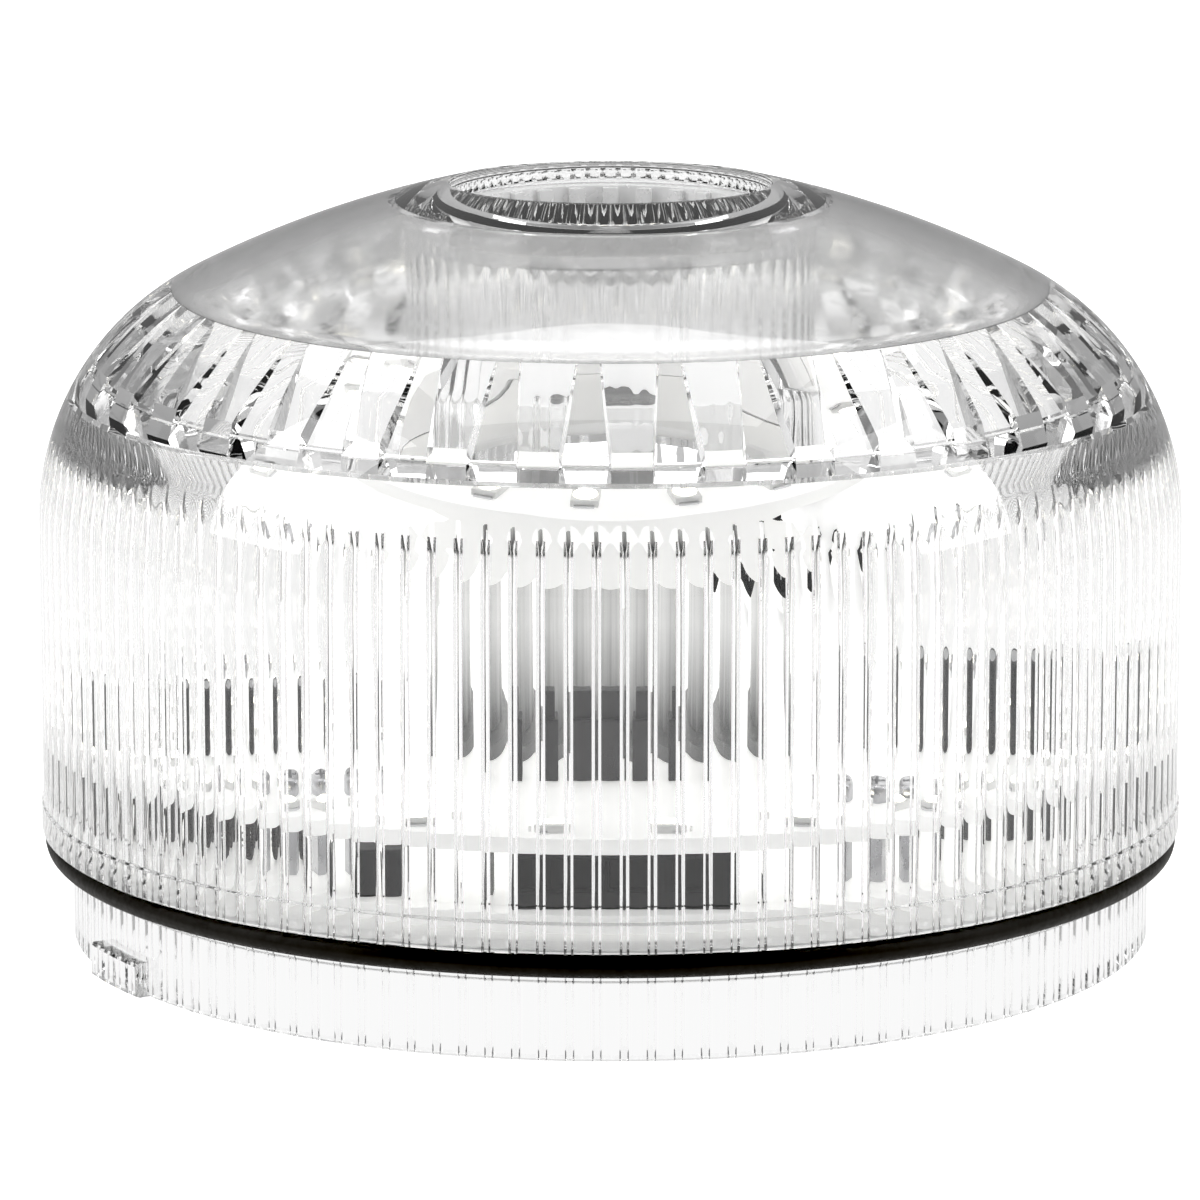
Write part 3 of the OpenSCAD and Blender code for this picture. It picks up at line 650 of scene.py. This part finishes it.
def chip(k, c, size, z0, z1, angle=0.0, pins=0, down=False, two=False):
    g = 0.12
    lo, hi = (z0 + g, z1) if not down else (z0, z1 - g)
    k.box(c, (size[0] - 0.9, size[1] - 0.9), 0.1, 0, angle, (lo, hi))
    ca, sa = math.cos(angle), math.sin(angle)
    foot = (z0, z0 + 0.16) if not down else (z1 - 0.16, z1)
    mid = (lo + hi) / 2
    for side in ((0, 1), (0, -1)) + (() if two else ((1, 0), (-1, 0))):
        n = pins
        span = (size[0] if side[1] else size[1]) - 1.8
        for i in range(n):
            o = -span / 2 + span * i / max(1, n - 1)
            ex = size[0] / 2 - 0.45 if side[0] else 0
            ey = size[1] / 2 - 0.45 if side[1] else 0
            def at(px, py):
                return (c[0] + px * ca - py * sa, c[1] + px * sa + py * ca)
            px = side[0] * (ex + 0.1) + (o if side[1] else 0)
            py = side[1] * (ey + 0.1) + (o if side[0] else 0)
            w = 0.28
            k.box(at(px + side[0] * 0.0, py), (w if side[1] else 0.2, w if side[0] else 0.2), 0.02, 1, angle, (min(mid, foot[0]), max(mid, foot[1])))
            k.box(at(px + side[0] * 0.2, py + side[1] * 0.2), (w if side[1] else 0.42, w if side[0] else 0.42), 0.02, 1, angle, foot)
    m1 = (c[0] + (-size[0] / 2 + 1.2) * ca - (size[1] / 2 - 1.2) * sa, c[1] + (-size[0] / 2 + 1.2) * sa + (size[1] / 2 - 1.2) * ca)
    if not down:
        k.revolve([(0, z1 - 0.05), (0.28, z1 - 0.05), (0.3, z1 + 0.004), (0, z1 + 0.004)], m1, 20, 1)


if "microcontroller" in NODES:
    k = Kit("epoxy", "tin")
    chip(k, (14, 6), (9, 9), CTL_TOP, CTL_TOP + 1.5, 0, 12)
    chip(k, (-12, 6), (5, 6), CTL_TOP, CTL_TOP + 1.5, math.pi / 2 * 0, 4, two=True)
    chip(k, (-12, -12), (5, 6), CTL_TOP, CTL_TOP + 1.5, 0, 4, two=True)
    chip(k, (12, -14), (6, 7), CTL_TOP, CTL_TOP + 2.2, 0, 4, two=True)
    k.done("control_chips", "microcontroller", "chip_epoxy")
    k = Kit("epoxy", "tin")
    for a in (201, 209.5, 300, 318, 327, 40, 130):
        t = math.radians(a)
        chip(k, (30.5 * math.cos(t), 30.5 * math.sin(t)), (3.6, 6), UP_Z - 1.5, UP_Z, t, 4, down=True, two=False)
    k.done("driver_packages", "led_driver_chips", "chip_epoxy")

if "acoustic_mesh" in NODES:
    k = Kit("wire", "mesh")
    zc, pitch, wr = 73.14, 0.62, 0.1
    n = int(8.6 / pitch)
    for axis in (0, 1):
        for i in range(-n, n + 1):
            o = i * pitch
            half = math.sqrt(max(0, 8.62 ** 2 - o * o))
            if half < 0.6:
                continue
            m = max(4, int(half * 2 / (pitch / 2)))
            pts = []
            for q in range(m + 1):
                t = -half + 2 * half * q / m
                h = 0.09 * math.cos(math.pi * t / pitch) * (1 if (i % 2 == 0) != (axis == 0) else -1)
                pts.append((t, o, zc + h) if axis == 0 else (o, t, zc + h))
            k.tube(pts, wr, 5, 0)
    k.revolve([(8.5, 72.92), (8.98, 72.92), (8.98, 73.36), (8.5, 73.36), (8.5, 72.92)], seg=72, k=1)
    bmesh.ops.remove_doubles(k.bm, verts=k.bm.verts, dist=0.0002 * MM)
    k.done("woven_mesh", "acoustic_mesh", "mesh_fabric")

SPACERS = [(34, 26), (-34, 26), (-30, -31), (27, -34)]


def screws(name, node, tip, seat, top, depth):
    """pan-head screws with a cross recess; top is the head's outer face, and tip the shaft's end"""
    k = Kit("steel")
    d = 1 if top > seat else -1
    seg = 96
    for c in SPACERS:
        prof = [(0, tip), (1.15, tip), (1.45, tip + 0.3 * d), (1.45, seat), (2.78, seat), (2.8, seat + 0.06 * d), (2.8, top - 0.42 * d), (2.7, top - 0.18 * d), (2.5, top - 0.05 * d), (2.25, top)]
        face = [2.05, 1.85, 1.74, 1.62, 1.45, 1.25, 1.05, 0.85, 0.66, 0.5, 0.34, 0.18]
        rings = []
        for r, z in prof[1:]:
            rings.append([(r * math.cos(2 * math.pi * i / seg), r * math.sin(2 * math.pi * i / seg), z) for i in range(seg)])
        for r in face:
            ring = []
            for i in range(seg):
                x, y = r * math.cos(2 * math.pi * i / seg), r * math.sin(2 * math.pi * i / seg)
                u, v = min(abs(x), abs(y)), max(abs(x), abs(y))
                t = min(1.0, max(0.0, (0.42 - u) / 0.12)) * min(1.0, max(0.0, (1.78 - v) / 0.16))
                ring.append((x, y, top - depth * t * d))
            rings.append(ring)
        vs = [[k.bm.verts.new(((x + c[0]) * MM, (y + c[1]) * MM, z * MM)) for x, y, z in ring] for ring in rings]
        a = k.bm.verts.new((c[0] * MM, c[1] * MM, tip * MM))
        b = k.bm.verts.new((c[0] * MM, c[1] * MM, (top - depth * d) * MM))
        for A, B in zip(vs, vs[1:]):
            for i in range(seg):
                j = (i + 1) % seg
                k.bm.faces.new((A[i], A[j], B[j], B[i]))
        for i in range(seg):
            j = (i + 1) % seg
            k.bm.faces.new((a, vs[0][j], vs[0][i]))
            k.bm.faces.new((b, vs[-1][i], vs[-1][j]))
    k.done(name, node, "plated_steel")


if "plate_screws" in NODES:
    screws("plate_pan_screws", "plate_screws", 16.1, 10.13, 8.87, 0.48)
    screws("board_pan_screws", "board_screws", 16.8, 21.6, 23.4, 0.7)

if "horn_grille" in NODES:
    k = Kit("grille")
    k.revolve([(14.2, 72.62), (14.3, 72.5), (16.68, 72.5), (16.78, 72.6), (16.78, 76.75), (16.7, 76.92), (16.5, 77.0), (14.5, 77.0), (14.28, 76.92), (14.2, 76.72), (14.2, 72.62)], seg=192)
    k.revolve([(6.5, 73.5), (6.6, 73.4), (11.7, 73.4), (11.8, 73.5), (11.8, 74.8), (11.72, 74.95), (11.55, 75.0), (7.4, 75.0), (7.2, 74.94), (6.5, 74.4), (6.5, 73.5)], seg=144)
    bmesh.ops.remove_doubles(k.bm, verts=k.bm.verts, dist=0.0002 * MM)
    for i in range(24):
        a = math.radians(i * 15)
        k.box((13.0 * math.cos(a), 13.0 * math.sin(a)), (2.9, 1.7), 0.16, 0, a, (73.42, 74.97))
        k.box((14.02 * math.cos(a), 14.02 * math.sin(a)), (1.1, 1.68), 0.16, 0, a, (73.46, 76.78))
    k.done("slotted_grille", "horn_grille", "clear_grille")

# moulded and cut edges on the CAD nodes that stay
for n, w in (("closure_plate", 0.22), ("contact_carrier", 0.2), ("tone_switch_body", 0.16), ("volume_trimmer", 0.14), ("volume_rotor", 0.08), ("terminal_block", 0.22),
             ("transformer", 0.3), ("driver_inductor", 0.25), ("board_header", 0.15), ("riser_connector", 0.2), 
             ("board_spacers", 0.12), ("control_board", 0.06), ("lower_led_board", 0.06), ("upper_led_board", 0.06), ("sounder_cap", 0.15), ("tube_gasket", 0.2),
             ("reflector", 0.12), *[(f"tone_slider_{i}", 0.1) for i in range(1, 6)]):
    if n not in NODES:
        continue
    o = NODES[n]
    wd = o.modifiers.new("weld", "WELD")
    wd.merge_threshold = 0.000002
    flat = o.modifiers.new("flat", "DECIMATE")
    flat.decimate_type = "DISSOLVE"
    flat.angle_limit = math.radians(1.5)
    b = o.modifiers.new("edges", "BEVEL")
    b.width = w * MM
    b.segments = 2
    b.limit_method = "ANGLE"
    b.angle_limit = math.radians(38)
    b.use_clamp_overlap = True

# ------------------------------------------------------------------ floor, light, world
bpy.ops.mesh.primitive_circle_add(vertices=96, radius=6.0, fill_type="NGON", location=(0, 0, -0.0002))
floor = bpy.context.object
floor.name = "studio_floor"
fm, nt, p = nt_new("studio_floor")
fn = noise(nt, 3.0, 2.0)
nt.links.new(ramp(nt, fn, 0.3, 0.7, (0.93, 0.93, 0.93), (0.95, 0.95, 0.95)), p.inputs["Base Color"])
p.inputs["Roughness"].default_value = 0.9
p.inputs["Specular IOR Level"].default_value = 0.0
p.inputs["Emission Color"].default_value = (1, 1, 1, 1)
p.inputs["Emission Strength"].default_value = 0.75
# what the object sees of the floor: a painted pool of light, pale near it and darker out in the room
geo = nt.nodes.new("ShaderNodeTexCoord")
vl = nt.nodes.new("ShaderNodeVectorMath")
vl.operation = "LENGTH"
nt.links.new(geo.outputs["Object"], vl.inputs[0])
mr = nt.nodes.new("ShaderNodeMapRange")
mr.inputs["From Min"].default_value = 0.0
mr.inputs["From Max"].default_value = 0.5
nt.links.new(vl.outputs["Value"], mr.inputs["Value"])
far = nt.nodes.new("ShaderNodeValToRGB")
els = far.color_ramp.elements
els[0].position, els[0].color = 0.5, (0.95, 0.95, 0.95, 1)
els[1].position, els[1].color = 0.95, (0.45, 0.45, 0.45, 1)
nt.links.new(mr.outputs["Result"], far.inputs["Fac"])
em = nt.nodes.new("ShaderNodeEmission")
nt.links.new(far.outputs["Color"], em.inputs["Color"])
lp = nt.nodes.new("ShaderNodeLightPath")
mx = nt.nodes.new("ShaderNodeMixShader")
nt.links.new(lp.outputs["Is Camera Ray"], mx.inputs["Fac"])
nt.links.new(em.outputs[0], mx.inputs[1])
nt.links.new(p.outputs[0], mx.inputs[2])
# the floor doesn't hide the underside from a camera below it
side = nt.nodes.new("ShaderNodeNewGeometry")
clear = nt.nodes.new("ShaderNodeBsdfTransparent")
both = nt.nodes.new("ShaderNodeMixShader")
nt.links.new(side.outputs["Backfacing"], both.inputs["Fac"])
nt.links.new(mx.outputs[0], both.inputs[1])
nt.links.new(clear.outputs[0], both.inputs[2])
nt.links.new(both.outputs[0], [n for n in nt.nodes if n.type == "OUTPUT_MATERIAL"][0].inputs["Surface"])
floor.data.materials.append(fm)

world = bpy.data.worlds.new("studio")
scene.world = world
world.use_nodes = True
wn = world.node_tree
wn.nodes.clear()
wo = wn.nodes.new("ShaderNodeOutputWorld")
bg = wn.nodes.new("ShaderNodeBackground")
tc = wn.nodes.new("ShaderNodeTexCoord")
sep = wn.nodes.new("ShaderNodeSeparateXYZ")
wn.links.new(tc.outputs["Generated"], sep.inputs[0])
# a grey room, darker where the photographer stands, with a pale floor


def graded(sock, stops):
    mr = wn.nodes.new("ShaderNodeMapRange")
    mr.inputs["From Min"].default_value = -1
    mr.inputs["From Max"].default_value = 1
    wn.links.new(sock, mr.inputs["Value"])
    rp = wn.nodes.new("ShaderNodeValToRGB")
    wn.links.new(mr.outputs["Result"], rp.inputs["Fac"])
    els = rp.color_ramp.elements
    while len(els) < len(stops):
        els.new(0.5)
    for e, (pos, g) in zip(els, stops):
        e.position, e.color = pos, (g, g, g, 1)
    return rp.outputs["Color"]


up = graded(sep.outputs["Z"], [(0.40, 0.42), (0.55, 0.36), (0.85, 0.6)])
front = graded(sep.outputs["Y"], [(0.05, 0.35), (0.4, 1.0)])
mul = wn.nodes.new("ShaderNodeMix")
mul.data_type = "RGBA"
mul.blend_type = "MULTIPLY"
mul.inputs[0].default_value = 1.0
wn.links.new(up, mul.inputs[6])
wn.links.new(front, mul.inputs[7])
wn.links.new(mul.outputs[2], bg.inputs["Color"])
bg.inputs["Strength"].default_value = 1.0
bgc = wn.nodes.new("ShaderNodeBackground")
bgc.inputs["Color"].default_value = (1, 1, 1, 1)
bgc.inputs["Strength"].default_value = 1.0
lp = wn.nodes.new("ShaderNodeLightPath")
mx = wn.nodes.new("ShaderNodeMixShader")
wn.links.new(lp.outputs["Is Camera Ray"], mx.inputs["Fac"])
wn.links.new(bg.outputs[0], mx.inputs[1])
wn.links.new(bgc.outputs[0], mx.inputs[2])
wn.links.new(mx.outputs[0], wo.inputs["Surface"])


def area(name, loc, target, size, power):
    l = bpy.data.lights.new(name, "AREA")
    l.shape = "RECTANGLE"
    l.size, l.size_y = size
    l.energy = power
    o = bpy.data.objects.new(name, l)
    scene.collection.objects.link(o)
    o.location = loc
    o.rotation_euler = (Vector(target) - Vector(loc)).to_track_quat("-Z", "Y").to_euler()
    return o


area("softbox_top", (0, 0.1, 1.2), (0, 0, 0.03), (1.0, 1.0), 6)
area("softbox_left", (-1.0, -0.3, 0.6), (0, 0, 0.03), (0.5, 0.9), 4)
area("softbox_right", (1.0, -0.3, 0.6), (0, 0, 0.03), (0.5, 0.9), 4)

scene.cycles.max_bounces = 24
scene.cycles.transmission_bounces = 24
scene.cycles.glossy_bounces = 12
scene.cycles.diffuse_bounces = 5
scene.cycles.transparent_max_bounces = 16
scene.cycles.caustics_refractive = True
scene.cycles.caustics_reflective = True
scene.cycles.blur_glossy = 0.2
scene.cycles.use_denoising = True
scene.view_settings.view_transform = "Standard"
scene.view_settings.look = "None"
scene.view_settings.use_curve_mapping = True
scene.view_settings.curve_mapping.black_level = (0.03, 0.03, 0.03)
